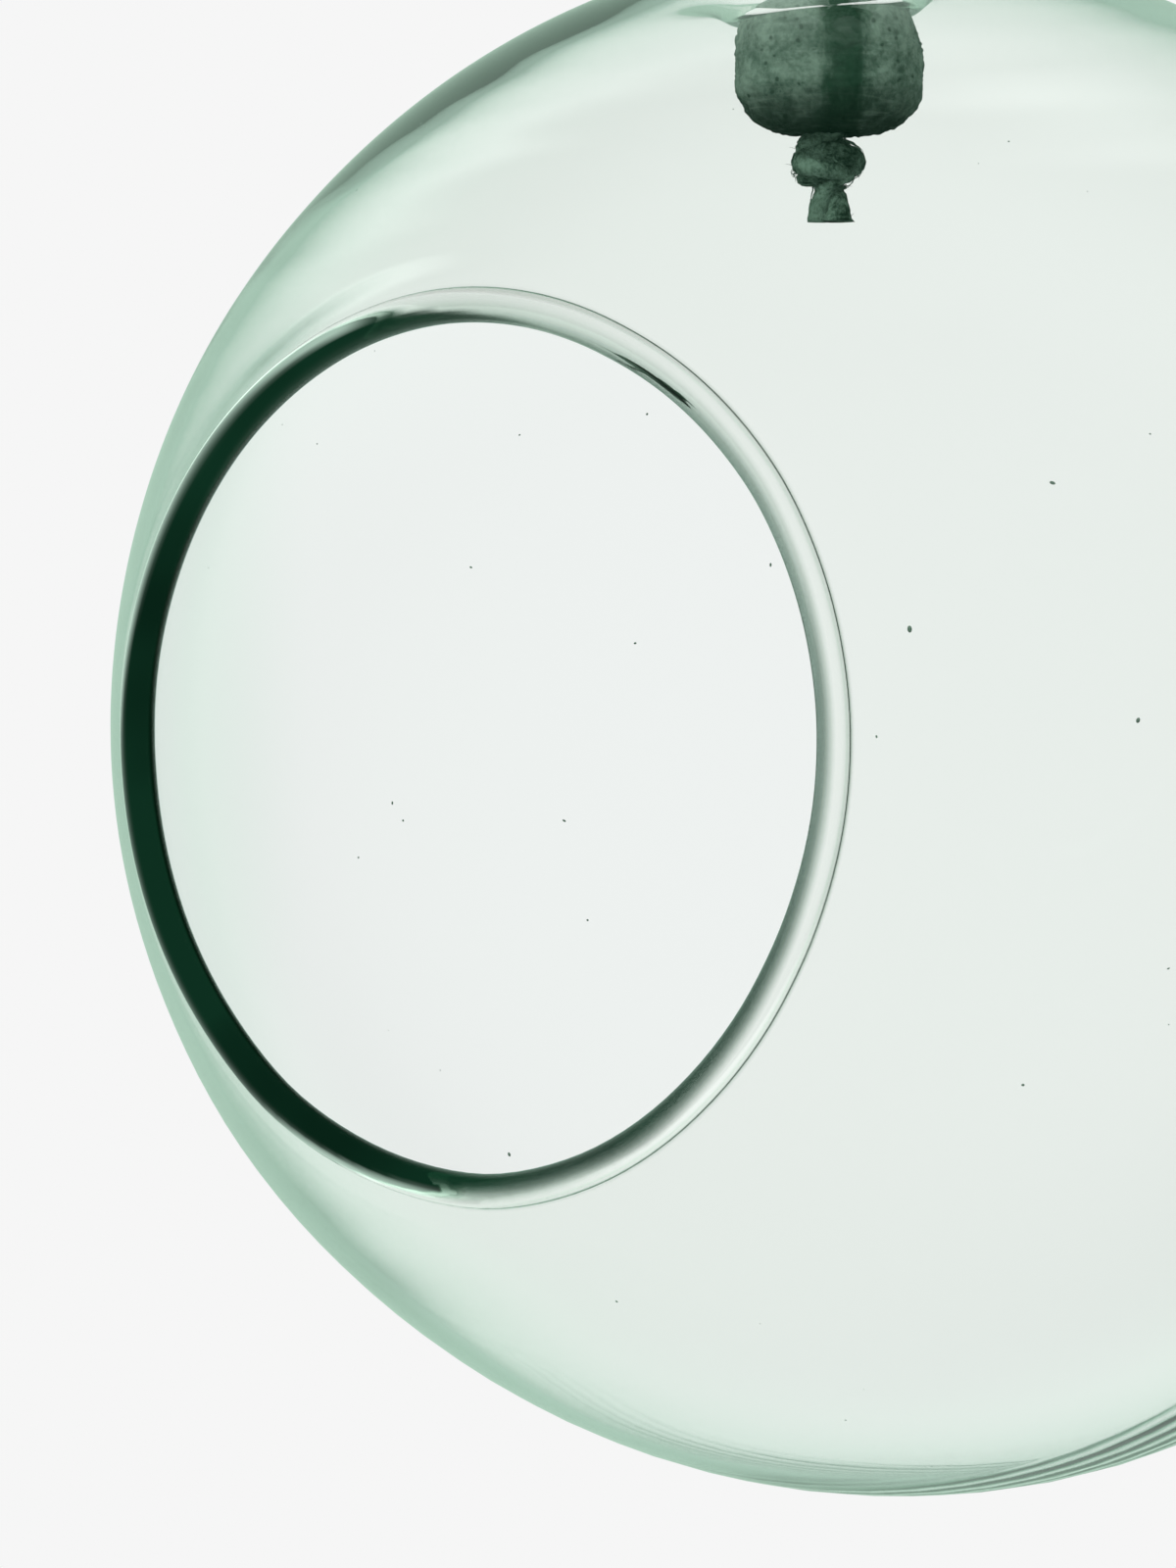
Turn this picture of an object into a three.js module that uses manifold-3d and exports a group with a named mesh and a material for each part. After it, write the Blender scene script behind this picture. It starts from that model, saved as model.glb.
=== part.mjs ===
// Hanging planter: a blown glass globe with a round side opening, hung on a knotted rope by a
// cork stopper that seats under the lip of the hole in its crown.
// Millimetres, +Z up. The origin is the point where a hook carries the rope's loop, and the
// opening faces -Y.
import * as THREE from 'three';
import { mergeVertices } from 'three/addons/utils/BufferGeometryUtils.js';
import Module from 'manifold-3d';

const wasm = await Module();
wasm.setup();

// Driving dimensions, in millimetres and degrees
const clearance = 0.3; // gap between pieces that touch

// Globe
const globeDiameter = 240;
const wall = 3.4; // side of the bubble
const poleThickening = 1; // extra glass inside the crown and the base
const openingDiameter = 124.4; // clear hole inside the lip
const lipThickness = 4.8; // bead round the opening
const lipSwell = 7; // width of the ring that swells into the bead
const lipSpring = 3.8; // how far the lip is drawn out of the bubble's round
const lipDraw = 44; // width of the ring of wall that is drawn out with it
const crownHoleDiameter = 25.6; // clear hole for the stopper
const crownLipThickness = 4.8;
const crownDip = 8.1; // depth of the crown lip's middle under the globe's top
const crownRing = 13; // width of the ring that dips, from the lip's middle outwards
const globeLean = 5.1; // the bubble sits off its neck, so it hangs with a lean
const leanBearing = 215.6; // plan direction that the crown leans towards, from +X

// Stopper
const stopperOverhang = 1.9; // shoulder beyond the crown's hole, on each side
const stopperStand = 5; // top over the middle of the crown lip
const stopperDrop = 13.3; // from the shoulder's middle to the bottom
const stopperTopInset = 3.8; // top inside the crown's hole, on each side
const stopperFillet = 9.3; // rounding of the lower edge
const stopperTopFillet = 1.5;

// Rope
const ropeDiameter = 5;
const ropeRun = 50; // bare rope between the loop knot and the stopper
const loopHeight = 40; // hook point to the ends of the loop's legs
const loopCrownRadius = 12; // middle of the rope
const loopCrownSweep = 25; // how far the crown's arc runs past its widest point
const loopKnotPull = 5.2; // how far the turns sink into the doubled rope
const loopTurnGap = 1; // height of the loop knot beyond its two turns
const loopTurnTilt = 3;
const loopTurnBearing = 20;
const loopTurnTwist = 55; // bearing from one turn to the next
const loopTailLength = 11;
const loopTailSpread = 20; // angle between the tail and the rope
const stopperKnotBulge = 2.4; // width beyond two ropes
const stopperKnotSlant = 3.7; // height beyond one rope
const ropeTailLength = 3.8;
const ropeTailSpread = 2.2; // width of the cut end beyond the rope
const swingSeat = 1.5; // depth from a swing axis to the face of the loop knot

// Facets
const globeSegments = 44;
const globeRings = 20;
const drawSteps = 8;
const edgeSteps = 6;
const crownSegments = 32;
const stopperSegments = 28;
const stopperArcSteps = 7;
const topArcSteps = 3;
const ropeSides = 10;
const ropeSteps = 8;
const loopSteps = 40;
const loopCrownSteps = 10;
const tailSteps = 5;
const turnSteps = 24;
const roundSegments = 16;
const capSteps = 4;

// Sizes that follow
const globeRadius = globeDiameter / 2;
const poleWall = wall + poleThickening;
const ropeRadius = ropeDiameter / 2;
const boreRadius = ropeRadius + clearance;
const shoulderRadius = crownHoleDiameter / 2 + stopperOverhang;
const legSpacing = ropeDiameter + 2 * clearance; // between the loop's legs where they meet the knot
const loopKnotDiameter = legSpacing + 3 * ropeDiameter - loopKnotPull;
const loopKnotHeight = 2 * ropeDiameter + loopTurnGap;
const stopperKnotDiameter = 2 * ropeDiameter + stopperKnotBulge;
const stopperKnotHeight = ropeDiameter + stopperKnotSlant;

// The crown lip's bead rests on the stopper's round shoulder, so its height over the shoulder's
// middle follows from both radii.
const crownBead = crownLipThickness / 2;
const crownLipRadius = crownHoleDiameter / 2 + crownBead;
const seatDistance = shoulderRadius + clearance + crownBead;
const seatRise = Math.sqrt(seatDistance ** 2 - crownLipRadius ** 2);
const crownLipHeight = globeRadius - crownDip; // over the globe's centre
const centreDrop = crownLipHeight - seatRise; // shoulder's middle down to the globe's centre
const stopperRise = seatRise + stopperStand;

// Heights, from the hook point down
const legEndZ = -loopHeight;
const loopKnotTopZ = legEndZ - swingSeat;
const loopKnotBottomZ = loopKnotTopZ - loopKnotHeight;
const ropeTopZ = loopKnotBottomZ - swingSeat;
const stopperTopZ = ropeTopZ - ropeRun;
const stopperZ = stopperTopZ - stopperRise; // middle of the round shoulder
const stopperBottomZ = stopperZ - stopperDrop;
const stopperKnotTopZ = stopperBottomZ - clearance;
const stopperKnotBottomZ = stopperKnotTopZ - stopperKnotHeight;

const { degToRad, lerp, smoothstep } = THREE.MathUtils;
const quarter = Math.PI / 2;
const glassFinish = { color: 0xdcebe2, roughness: 0.04, metalness: 0 };
const corkFinish = { color: 0x6f8277, roughness: 0.9, metalness: 0 };
const ropeFinish = { color: 0x4c6a5a, roughness: 0.95, metalness: 0 };

// Joins shared corners and drops the flat triangles at a revolve's poles.
function welded(geometry) {
  const bare = new THREE.BufferGeometry();
  bare.setAttribute('position', geometry.getAttribute('position').clone());
  if (geometry.index) bare.setIndex(geometry.index.clone());
  const joined = mergeVertices(bare, 1e-4);
  const index = joined.index.array;
  const kept = [];
  for (let i = 0; i < index.length; i += 3) {
    const [a, b, c] = [index[i], index[i + 1], index[i + 2]];
    if (a !== b && b !== c && c !== a) kept.push(a, b, c);
  }
  joined.setIndex(kept);
  return joined;
}

function solid(geometry) {
  const closed = welded(geometry);
  const vertProperties = new Float32Array(closed.getAttribute('position').array);
  const triVerts = new Uint32Array(closed.index.array);
  return new wasm.Manifold(new wasm.Mesh({ numProp: 3, vertProperties, triVerts }));
}

function geometryOf(manifold) {
  const { vertProperties, triVerts } = manifold.getMesh();
  const geometry = new THREE.BufferGeometry();
  geometry.setAttribute('position', new THREE.BufferAttribute(new Float32Array(vertProperties), 3));
  geometry.setIndex(new THREE.BufferAttribute(new Uint32Array(triVerts), 1));
  return geometry;
}

function piece(name, geometry, finish) {
  const closed = welded(geometry);
  closed.computeVertexNormals();
  const mesh = new THREE.Mesh(closed, new THREE.MeshStandardMaterial(finish));
  mesh.name = name;
  return mesh;
}

// Revolve about Z of a profile of [radius, height] points
function turned(profile, segments) {
  const points = profile.map(([r, z]) => new THREE.Vector2(r, z));
  return new THREE.LatheGeometry(points, segments).rotateX(quarter);
}

function arc(centre, radius, from, to, steps) {
  const points = [];
  for (let i = 0; i <= steps; i++) {
    const angle = lerp(from, to, i / steps);
    points.push([centre[0] + radius * Math.cos(angle), centre[1] + radius * Math.sin(angle)]);
  }
  return points;
}

function bezier(from, bend, to, steps) {
  const corners = [from, bend, to].map(([r, z]) => new THREE.Vector2(r, z));
  return new THREE.QuadraticBezierCurve(...corners).getPoints(steps).map((p) => [p.x, p.y]);
}

// Section of a wall along a line of middle points, with a round edge at the line's end. Its
// thickness depends on the distance left to that end.
function wallSection(middle, thickness) {
  const outer = [];
  const inner = [];
  let left = 0;
  for (let i = middle.length - 2; i >= 0; i--) {
    const [r, z] = middle[i];
    const before = middle[Math.max(i - 1, 0)];
    const after = middle[i + 1];
    left += Math.hypot(after[0] - r, after[1] - z);
    const heading = Math.atan2(after[1] - before[1], after[0] - before[0]);
    const half = thickness(left) / 2;
    const side = [Math.sin(heading) * half, -Math.cos(heading) * half];
    outer.unshift([r + side[0], z + side[1]]);
    inner.push([r - side[0], z - side[1]]);
  }
  const [previous, end] = middle.slice(-2);
  const endHeading = Math.atan2(end[1] - previous[1], end[0] - previous[0]);
  const edge = arc(end, thickness(0) / 2, endHeading - quarter, endHeading + quarter, edgeSteps);
  return { outer, edge, inner };
}

// Bubble, turned about the axis of its side opening: round, then drawn out into the lip
function bubble() {
  const middleRadius = globeRadius - wall / 2;
  const lipRadius = openingDiameter / 2 + lipThickness / 2;
  const lipAngle = Math.acos(lipRadius / (middleRadius + lipSpring));
  const drawAngle = lipDraw / middleRadius;
  const middle = arc([0, 0], middleRadius, -quarter, lipAngle - drawAngle, globeRings);
  for (let i = 1; i <= drawSteps; i++) {
    const share = i / drawSteps;
    const angle = lipAngle - drawAngle * (1 - share);
    const radius = middleRadius + lipSpring * share ** 2;
    middle.push([radius * Math.cos(angle), radius * Math.sin(angle)]);
  }
  const thickness = (left) => lerp(lipThickness, wall, smoothstep(left, 0, lipSwell));
  const { outer, edge, inner } = wallSection(middle, thickness);
  outer[0] = [0, -globeRadius];
  inner[inner.length - 1] = [0, wall - globeRadius];
  const geometry = turned([...outer, ...edge, ...inner], globeSegments).rotateX(quarter);
  return thickerAtPoles(geometry);
}

// The inner face keeps further from the outer one towards the crown and the base.
function thickerAtPoles(geometry) {
  const position = geometry.getAttribute('position');
  const point = new THREE.Vector3();
  for (let i = 0; i < position.count; i++) {
    point.fromBufferAttribute(position, i);
    const distance = point.length();
    if (distance < globeRadius - wall / 2) {
      const extra = poleThickening * (point.z / distance) ** 4;
      point.multiplyScalar(1 - extra / distance);
      position.setXYZ(i, point.x, point.y, point.z);
    }
  }
  return geometry;
}

// Ring of wall round the crown's hole, which dips into the globe and ends in a round lip
function crownRingSolid() {
  const middleRadius = globeRadius - poleWall / 2;
  const outerRadius = crownLipRadius + crownRing;
  const outerHeight = Math.sqrt(middleRadius ** 2 - outerRadius ** 2);
  const slope = outerRadius / outerHeight;
  const crestRadius = crownLipRadius + crownRing / 2;
  const crest = [crestRadius, outerHeight + slope * (outerRadius - crestRadius)];
  const dip = bezier([outerRadius, outerHeight], crest, [crownLipRadius, crownLipHeight], drawSteps);
  const buried = poleWall - 2 * clearance;
  const thickness = (left) => lerp(crownLipThickness, buried, smoothstep(left, 0, crownRing));
  const { outer, edge, inner } = wallSection(dip, thickness);
  const profile = [...outer, ...edge, ...inner];
  return solid(turned([...profile, profile[0]], crownSegments));
}

function glassGlobe() {
  const cutRadius = crownLipRadius + crownRing / 2;
  const cut = new THREE.CylinderGeometry(cutRadius, cutRadius, globeRadius, crownSegments);
  cut.rotateX(quarter).translate(0, 0, globeRadius);
  return geometryOf(solid(bubble()).subtract(solid(cut)).add(crownRingSolid()));
}

// Cork plug: round shoulder that the globe's crown lip sits on, filleted lower edge, bore
function stopper() {
  const fillet = Math.min(stopperFillet, stopperDrop, shoulderRadius - boreRadius - clearance);
  const lower = arc([shoulderRadius - fillet, fillet - stopperDrop], fillet, -quarter, 0, stopperArcSteps);
  const shoulderEnd = Math.asin((seatRise + crownBead / 2) / shoulderRadius);
  const shoulder = arc([0, 0], shoulderRadius, 0, shoulderEnd, stopperArcSteps);
  const topCorner = [
    crownHoleDiameter / 2 - stopperTopInset - stopperTopFillet,
    stopperRise - stopperTopFillet,
  ];
  const top = arc(topCorner, stopperTopFillet, shoulderEnd / 2, quarter, topArcSteps);
  const bore = [
    [boreRadius, stopperRise],
    [boreRadius, -stopperDrop],
  ];
  const profile = [...lower, ...shoulder.slice(1), ...top, ...bore];
  return turned([...profile, profile[0]], stopperSegments);
}

function ropeSection() {
  const corners = [];
  for (let i = 0; i < ropeSides; i++) {
    const angle = (2 * Math.PI * i) / ropeSides;
    corners.push(new THREE.Vector2(ropeRadius * Math.cos(angle), ropeRadius * Math.sin(angle)));
  }
  return new THREE.Shape(corners);
}

function ropeAlong(points, steps) {
  const extrudePath = new THREE.CatmullRomCurve3(points.map((p) => new THREE.Vector3(...p)));
  return new THREE.ExtrudeGeometry(ropeSection(), { steps, extrudePath, bevelEnabled: false });
}

// Ball that rounds off a rope's end, narrow enough to start inside the flats of its section
function ropeEnd(x, z) {
  const ball = new THREE.SphereGeometry(ropeRadius - clearance / 2, ropeSides, ropeSteps);
  return solid(ball.translate(x, 0, z + clearance));
}

// Dish in the loop knot that takes such an end
function swingDish(x, z) {
  return solid(new THREE.SphereGeometry(boreRadius, roundSegments, roundSegments).translate(x, 0, z));
}

// Teardrop loop for a hook, both legs ending side by side over the loop knot
function hangingLoop() {
  const legX = legSpacing / 2;
  const sweep = degToRad(loopCrownSweep);
  const crownCentre = [0, ropeRadius - loopCrownRadius];
  const crown = arc(crownCentre, loopCrownRadius, -sweep, Math.PI + sweep, loopCrownSteps);
  const leg = [
    [legX, legEndZ],
    [legX, legEndZ + ropeDiameter],
  ];
  const mirrored = leg.map(([x, z]) => [-x, z]).reverse();
  const route = [...leg, ...crown, ...mirrored].map(([x, z]) => [x, 0, z]);
  const tube = solid(ropeAlong(route, loopSteps));
  return geometryOf(tube.add(ropeEnd(legX, legEndZ)).add(ropeEnd(-legX, legEndZ)));
}

// Turn of rope pulled tight round a knot's core
function ropeTurn(diameter, tilt, bearing, z) {
  const ring = new THREE.TorusGeometry((diameter - ropeDiameter) / 2, ropeRadius, ropeSides, turnSteps);
  return solid(ring.rotateX(tilt).rotateZ(degToRad(bearing)).translate(0, 0, z));
}

function knotCore(radius, topZ, bottomZ) {
  const core = new THREE.CylinderGeometry(radius, radius, topZ - bottomZ, roundSegments);
  return solid(core.rotateX(quarter).translate(0, 0, (topZ + bottomZ) / 2));
}

// Knot under the loop: two turns round the doubled rope
function loopKnot() {
  const coreRadius = (loopKnotDiameter - ropeDiameter) / 2;
  const middle = (loopKnotTopZ + loopKnotBottomZ) / 2;
  const spread = (loopKnotHeight - ropeDiameter) / 2 - clearance;
  const tilt = degToRad(loopTurnTilt);
  const legX = legSpacing / 2;
  const lowerBearing = loopTurnBearing + loopTurnTwist;
  return geometryOf(
    knotCore(coreRadius, loopKnotTopZ, loopKnotBottomZ)
      .add(ropeTurn(loopKnotDiameter, tilt, loopTurnBearing, middle + spread))
      .add(ropeTurn(loopKnotDiameter, -tilt, lowerBearing, middle - spread))
      .subtract(swingDish(legX, legEndZ))
      .subtract(swingDish(-legX, legEndZ))
      .subtract(swingDish(0, ropeTopZ)),
  );
}

// Free end of the rope, hanging in front of the standing part and bending away from it
function loopTail() {
  const startY = -(ropeDiameter + 2 * clearance);
  const startZ = loopKnotBottomZ - clearance;
  const out = loopTailLength * Math.sin(degToRad(loopTailSpread));
  const down = loopTailLength * Math.cos(degToRad(loopTailSpread));
  const route = [];
  for (let i = 0; i <= tailSteps; i++) {
    const share = i / tailSteps;
    route.push([0, startY - out * share ** 2, startZ - down * share]);
  }
  return ropeAlong(route, tailSteps);
}

// Taut rope from the loop knot through the stopper's bore, rounded at its upper end
function hangingRope() {
  const cap = arc([0, ropeTopZ], ropeRadius, 0, quarter, capSteps);
  cap[capSteps][0] = 0;
  const side = [];
  for (let i = 0; i < ropeSteps; i++) {
    side.push([ropeRadius, lerp(stopperBottomZ, ropeTopZ, i / ropeSteps)]);
  }
  return turned([[0, stopperBottomZ], ...side, ...cap], ropeSides);
}

// Overhand knot that carries the stopper: one slanted turn round the rope
function stopperKnot() {
  const turnRadius = (stopperKnotDiameter - ropeDiameter) / 2;
  const tilt = Math.asin(stopperKnotSlant / 2 / turnRadius);
  const middle = (stopperKnotTopZ + stopperKnotBottomZ) / 2;
  return geometryOf(
    knotCore(ropeRadius, stopperKnotTopZ, stopperKnotBottomZ).add(
      ropeTurn(stopperKnotDiameter, tilt, leanBearing, middle),
    ),
  );
}

// Cut end under the knot, which fans out to one side
function ropeTail() {
  const fan = ropeTailSpread / 2;
  const tail = new THREE.CylinderGeometry(ropeRadius, ropeRadius + fan, ropeTailLength, roundSegments);
  tail.rotateX(quarter);
  const position = tail.getAttribute('position');
  for (let i = 0; i < position.count; i++) {
    const depth = ropeTailLength / 2 - position.getZ(i);
    position.setX(i, position.getX(i) + (fan * depth) / ropeTailLength);
  }
  tail.rotateZ(degToRad(leanBearing) - Math.PI);
  return tail.translate(0, 0, stopperKnotBottomZ - clearance - ropeTailLength / 2);
}

const planter = new THREE.Group();
planter.add(piece('hanging_loop', hangingLoop(), ropeFinish));
planter.add(piece('loop_knot', loopKnot(), ropeFinish));
planter.add(piece('loop_tail', loopTail(), ropeFinish));
planter.add(piece('hanging_rope', hangingRope(), ropeFinish));
planter.add(piece('stopper_knot', stopperKnot(), ropeFinish));
planter.add(piece('rope_tail', ropeTail(), ropeFinish));

// The globe leans about the middle of the stopper's round shoulder.
const seat = new THREE.Group();
seat.position.z = stopperZ;
seat.add(piece('stopper', stopper(), corkFinish));
const leaning = new THREE.Group();
const bearing = degToRad(leanBearing);
const leanAxis = new THREE.Vector3(-Math.sin(bearing), Math.cos(bearing), 0);
leaning.setRotationFromAxisAngle(leanAxis, degToRad(globeLean));
const globe = piece('glass_globe', glassGlobe(), glassFinish);
globe.position.z = -centreDrop;
leaning.add(globe);
seat.add(leaning);
planter.add(seat);

export default planter;
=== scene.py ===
from math import asin, cos, log, pi, radians, sin, sqrt

import bmesh
import bpy
import numpy as np
from mathutils import Matrix, Vector, noise


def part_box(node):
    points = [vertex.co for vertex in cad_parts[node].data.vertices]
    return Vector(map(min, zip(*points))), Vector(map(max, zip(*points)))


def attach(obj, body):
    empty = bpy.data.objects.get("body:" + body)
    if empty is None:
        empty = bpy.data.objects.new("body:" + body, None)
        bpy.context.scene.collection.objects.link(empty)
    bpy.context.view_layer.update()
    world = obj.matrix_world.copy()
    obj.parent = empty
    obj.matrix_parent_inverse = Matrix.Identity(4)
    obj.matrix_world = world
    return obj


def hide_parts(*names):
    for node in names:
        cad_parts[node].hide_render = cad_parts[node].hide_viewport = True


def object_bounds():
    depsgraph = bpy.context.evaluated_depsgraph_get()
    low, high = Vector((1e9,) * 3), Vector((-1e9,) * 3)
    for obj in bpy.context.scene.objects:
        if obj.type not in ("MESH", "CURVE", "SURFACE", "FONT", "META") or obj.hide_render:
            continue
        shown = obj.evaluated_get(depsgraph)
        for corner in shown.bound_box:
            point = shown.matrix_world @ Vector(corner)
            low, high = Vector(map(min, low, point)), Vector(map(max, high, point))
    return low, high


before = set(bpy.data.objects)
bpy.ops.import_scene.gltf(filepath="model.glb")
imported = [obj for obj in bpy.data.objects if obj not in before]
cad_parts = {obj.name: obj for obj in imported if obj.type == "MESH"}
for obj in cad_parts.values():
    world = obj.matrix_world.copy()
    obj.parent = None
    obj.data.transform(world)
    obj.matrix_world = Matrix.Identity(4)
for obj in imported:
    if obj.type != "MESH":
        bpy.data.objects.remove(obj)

mm = 0.001
turn = 2 * pi
scene = bpy.context.scene
scene.view_settings.view_transform = "Standard"
cadLow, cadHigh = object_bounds()

# The globe hangs on the ball-shaped shoulder of its stopper, leaning a little.
hang = dict(
    lean=5.1, leanBearing=215.6,  # degrees, and where its top leans to, from X
    shoulderRise=13.3 * mm,  # shoulder's centre over the stopper's underside
    globeDrop=103.43 * mm)  # globe's centre below the shoulder's centre
stopperLow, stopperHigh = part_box("stopper")
ropeLow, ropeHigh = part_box("hanging_rope")
shoulder = np.array((0, 0, stopperLow.z + hang["shoulderRise"]))
bearing = radians(hang["leanBearing"])
leanAxis = Vector((-sin(bearing), cos(bearing), 0))
lean = np.array(Matrix.Rotation(radians(hang["lean"]), 3, leanAxis))
globeCentre = shoulder - hang["globeDrop"] * lean[:, 2]
mouthAxis = -lean[:, 1]

# Camera: where the photograph was taken from, found from the globe's outline and opening.
photo = dict(
    azimuth=35.645, elevation=-0.862, distance=1.6, sensor=36.0, clip=(0.01, 30),
    # In pixels of the photograph: focal length, size and the globe's centre
    focal=10543.6, size=(1200, 1600), globeAt=(907, 733))
azimuth, elevation = radians(photo["azimuth"]), radians(photo["elevation"])
viewRight = np.array((cos(azimuth), sin(azimuth), 0))
viewBack = np.array((sin(azimuth) * cos(elevation),
                     -cos(azimuth) * cos(elevation), sin(elevation)))
viewUp = np.cross(viewBack, viewRight)
asideX = (photo["globeAt"][0] - photo["size"][0] / 2) / photo["focal"]
asideY = (photo["globeAt"][1] - photo["size"][1] / 2) / photo["focal"]
aim = -viewBack - asideX * viewRight + asideY * viewUp
cameraData = bpy.data.cameras.new("camera")
cameraData.sensor_width = photo["sensor"]
cameraData.lens = photo["focal"] * photo["sensor"] / max(photo["size"])
camera = bpy.data.objects.new("camera", cameraData)
scene.collection.objects.link(camera)
camera.location = Vector(globeCentre + photo["distance"] * viewBack)
camera.rotation_mode = "QUATERNION"
camera.rotation_quaternion = Vector(aim).to_track_quat("-Z", "Y")
cameraData.clip_start, cameraData.clip_end = photo["clip"]
scene.camera = camera
cameraTurn = np.array(camera.rotation_quaternion.to_matrix())
print("camera done")


# Helpers for shapes

def unit(vectors):
    return vectors / np.linalg.norm(vectors, axis=-1, keepdims=True)


def smoothStep(value):
    value = np.clip(value, 0, 1)
    return value * value * (3 - 2 * value)


def evenPath(points, step):
    along = np.concatenate(([0], np.cumsum(np.linalg.norm(np.diff(points, axis=0), axis=1))))
    at = np.linspace(0, along[-1], max(8, round(along[-1] / step) + 1))
    return np.stack([np.interp(at, along, points[:, axis]) for axis in range(3)], axis=1), at


def relax(path, pull, rounds):
    for _ in range(rounds):
        path[1:-1] += pull * (path[:-2] + path[2:] - 2 * path[1:-1])


def tubeFaces(rows, columns, closed=False):
    row = np.arange(rows if closed else rows - 1)[:, None]
    column = np.arange(columns)[None]
    after, beside = (row + 1) % rows, (column + 1) % columns
    corners = (row * columns + column, row * columns + beside,
               after * columns + beside, after * columns + column)
    return np.stack(corners, axis=-1).reshape(-1, 4).tolist()


def roundTube(line, widths, sides, first, second):
    # A capped tube round a line, from its widths and two directions across it
    ring = turn * np.arange(sides) / sides
    around = np.cos(ring)[:, None] * first[:, None] + np.sin(ring)[:, None] * second[:, None]
    tube = line[:, None] + widths[..., None] * around
    last = (len(line) - 1) * sides
    caps = [list(range(sides))[::-1], list(range(last, last + sides))]
    return tube.reshape(-1, 3), tubeFaces(len(line), sides) + caps


def makePiece(name, parts, material):
    points, faces, start = [], [], 0
    for partPoints, partFaces in parts:
        points.append(partPoints)
        faces += [[start + corner for corner in face] for face in partFaces]
        start += len(partPoints)
    mesh = bpy.data.meshes.new(name)
    mesh.from_pydata(np.concatenate(points).tolist(), [], faces)
    outward = bmesh.new()
    outward.from_mesh(mesh)
    bmesh.ops.recalc_face_normals(outward, faces=outward.faces)
    outward.to_mesh(mesh)
    outward.free()
    mesh.polygons.foreach_set("use_smooth", [True] * len(mesh.polygons))
    mesh.materials.append(material)
    mesh.update()
    piece = bpy.data.objects.new(name, mesh)
    scene.collection.objects.link(piece)
    return piece


# Helpers for materials

def addNode(tree, kind, inputs=None, **settings):
    node = tree.nodes.new("ShaderNode" + kind)
    for key, value in settings.items():
        setattr(node, key, value)
    for key, value in (inputs or {}).items():
        if isinstance(value, bpy.types.NodeSocket):
            tree.links.new(value, node.inputs[key])
        else:
            node.inputs[key].default_value = value
    return node


def mix(tree, factor, low, high, blend="MIX"):
    inputs = {0: factor, 6: low, 7: high}
    return addNode(tree, "Mix", inputs, data_type="RGBA", blend_type=blend).outputs[2]


def doMath(tree, operation, first, second=0.0):
    return addNode(tree, "Math", {0: first, 1: second}, operation=operation).outputs[0]


def times(tree, value, *others):
    for other in others:
        value = doMath(tree, "MULTIPLY", value, other)
    return value


def ramp(tree, value, low, high, toLow=0.0, toHigh=1.0):
    inputs = {"Value": value, "From Min": low, "From Max": high, "To Min": toLow, "To Max": toHigh}
    return addNode(tree, "MapRange", inputs, interpolation_type="SMOOTHSTEP").outputs["Result"]


def fall(tree, value, low, high, start=1.0):
    return ramp(tree, value, low, high, start, 0.0)


def placeOn(tree):
    return addNode(tree, "TexCoord").outputs["Object"]


def dot(tree, vector, axis):
    inputs = {0: vector, 1: tuple(axis)}
    return addNode(tree, "VectorMath", inputs, operation="DOT_PRODUCT").outputs["Value"]


def headingFrom(tree, place, centre):
    away = addNode(tree, "VectorMath", {0: place, 1: tuple(centre)}, operation="SUBTRACT")
    inputs = {0: away.outputs["Vector"]}
    return addNode(tree, "VectorMath", inputs, operation="NORMALIZE").outputs["Vector"]


def noiseValue(tree, place, scale, detail, roughness=0.5):
    inputs = {"Vector": place, "Scale": scale, "Detail": detail, "Roughness": roughness}
    return addNode(tree, "TexNoise", inputs).outputs["Fac"]


def mixShader(tree, factor, first, second):
    return addNode(tree, "MixShader", {0: factor, 1: first, 2: second}).outputs["Shader"]


def newMaterial(name):
    material = bpy.data.materials.new(name)
    material.use_nodes = True
    material.node_tree.nodes.clear()
    return material, material.node_tree


def roughSurface(tree, colour, height, look):
    bump = addNode(tree, "Bump", {
        "Height": height, "Strength": look["bump"], "Distance": look["bumpDepth"]})
    shader = addNode(tree, "BsdfPrincipled", {
        "Base Color": colour, "Roughness": look["roughness"], "Specular IOR Level": look["gloss"],
        "Normal": bump.outputs["Normal"]})
    addNode(tree, "OutputMaterial", {"Surface": shader.outputs["BSDF"]})


def linear(red, green, blue):
    level = np.array((red, green, blue)) / 255
    level = np.where(level <= 0.04045, level / 12.92, ((level + 0.055) / 1.055) ** 2.4)
    return (*level.tolist(), 1.0)


# Mottling that cork, rope and seeds share: two layers of noise between a dark and a light colour
mottling = dict(
    coarse=(5.0, 0.62), fine=(3.0, 0.7),  # detail and roughness of each layer
    coarseShare=0.6, fineShare=0.4, fade=(0.36, 0.64))


def mottleGroup():
    group = bpy.data.node_groups.new("mottle", "ShaderNodeTree")
    for name, kind in (("Place", "Vector"), ("Coarse", "Float"), ("Fine", "Float"),
                       ("Dark", "Color"), ("Light", "Color")):
        group.interface.new_socket(name, in_out="INPUT", socket_type="NodeSocket" + kind)
    for name, kind in (("Colour", "Color"), ("Height", "Float")):
        group.interface.new_socket(name, in_out="OUTPUT", socket_type="NodeSocket" + kind)
    given = group.nodes.new("NodeGroupInput").outputs
    coarse = noiseValue(group, given["Place"], given["Coarse"], *mottling["coarse"])
    fine = noiseValue(group, given["Place"], given["Fine"], *mottling["fine"])
    blend = doMath(group, "ADD", times(group, coarse, mottling["coarseShare"]),
                   times(group, fine, mottling["fineShare"]))
    colour = mix(group, ramp(group, blend, *mottling["fade"]), given["Dark"], given["Light"])
    made = group.nodes.new("NodeGroupOutput")
    group.links.new(colour, made.inputs["Colour"])
    group.links.new(blend, made.inputs["Height"])
    return group


mottle = mottleGroup()


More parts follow.
